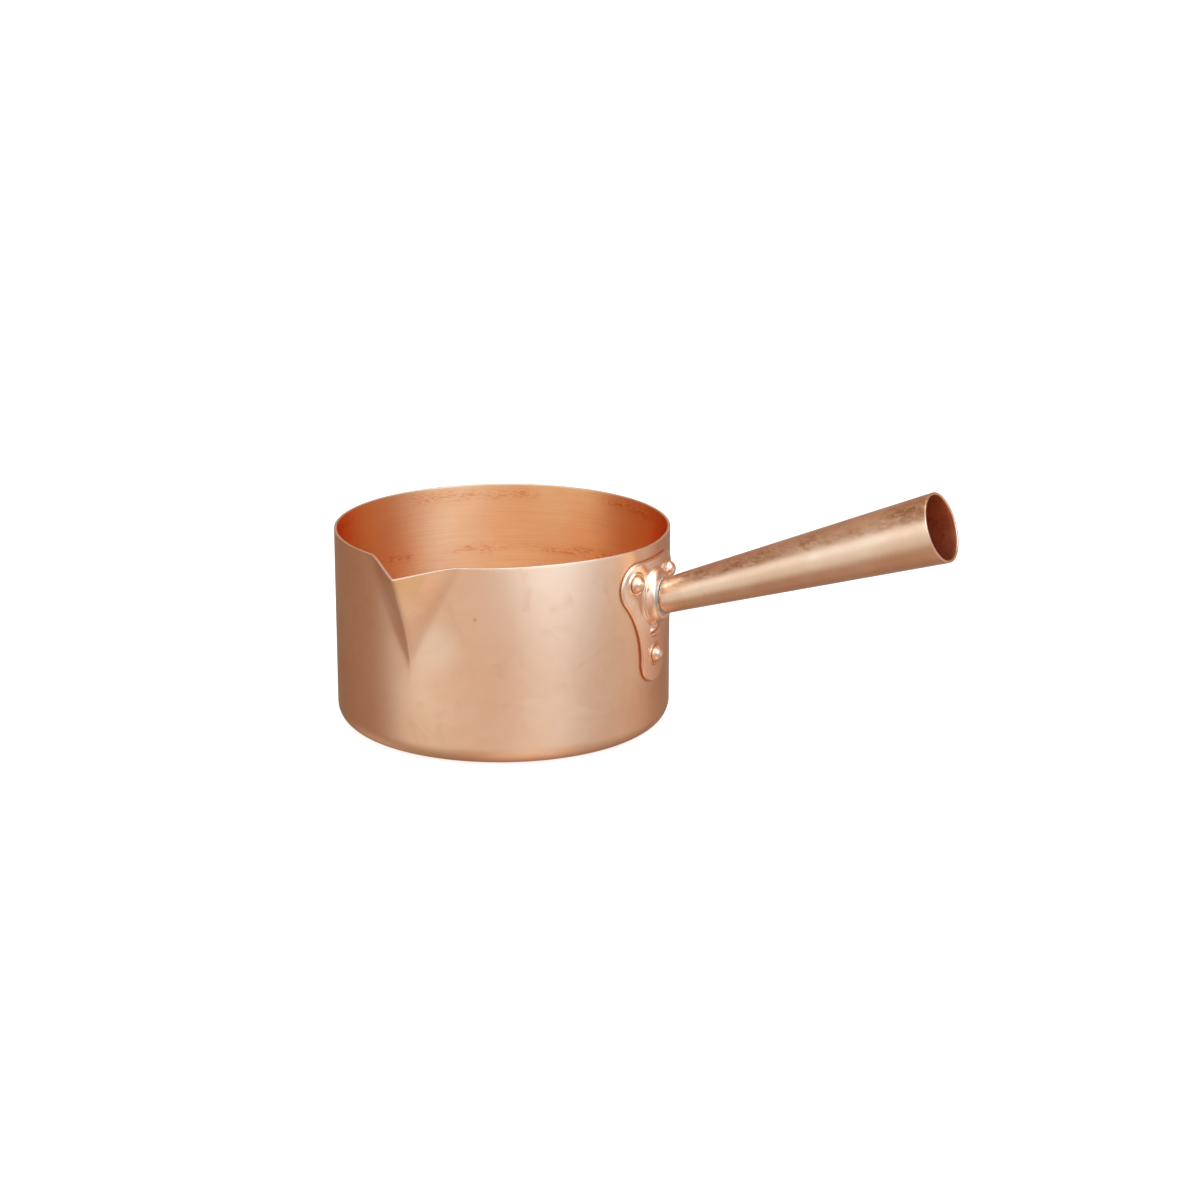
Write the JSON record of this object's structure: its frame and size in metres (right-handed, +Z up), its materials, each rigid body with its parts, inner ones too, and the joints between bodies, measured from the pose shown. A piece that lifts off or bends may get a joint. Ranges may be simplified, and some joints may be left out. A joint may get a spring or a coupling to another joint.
{
  "type": "copper sugar pot",
  "caption": "Straight-sided bare copper sugar pan with a pressed V pouring lip and a hollow conical handle on a riveted trefoil plate.",
  "frame": {"origin": "middle of the flat bottom, on the face that the pot rests on", "axes": "+Z up, +X towards the open end of the handle, the pouring lip towards -Y"},
  "size_m": [0.3072, 0.1739, 0.1354],
  "materials": {
    "pot_copper": "satin polished bare copper, brushed round the inside",
    "bracket_copper": "polished pressed copper",
    "handle_copper": "polished copper with darker patches along the top",
    "rivet_copper": "polished copper",
    "solder": "dull grey solder"
  },
  "bodies": {
    "root": {"pot_body": "pot_copper", "handle_bracket": "bracket_copper", "handle_tube": "handle_copper", "solder_ring": "solder", "rivet_upper_left": "rivet_copper", "rivet_upper_right": "rivet_copper", "rivet_lower": "rivet_copper"}
  },
  "joints": []
}
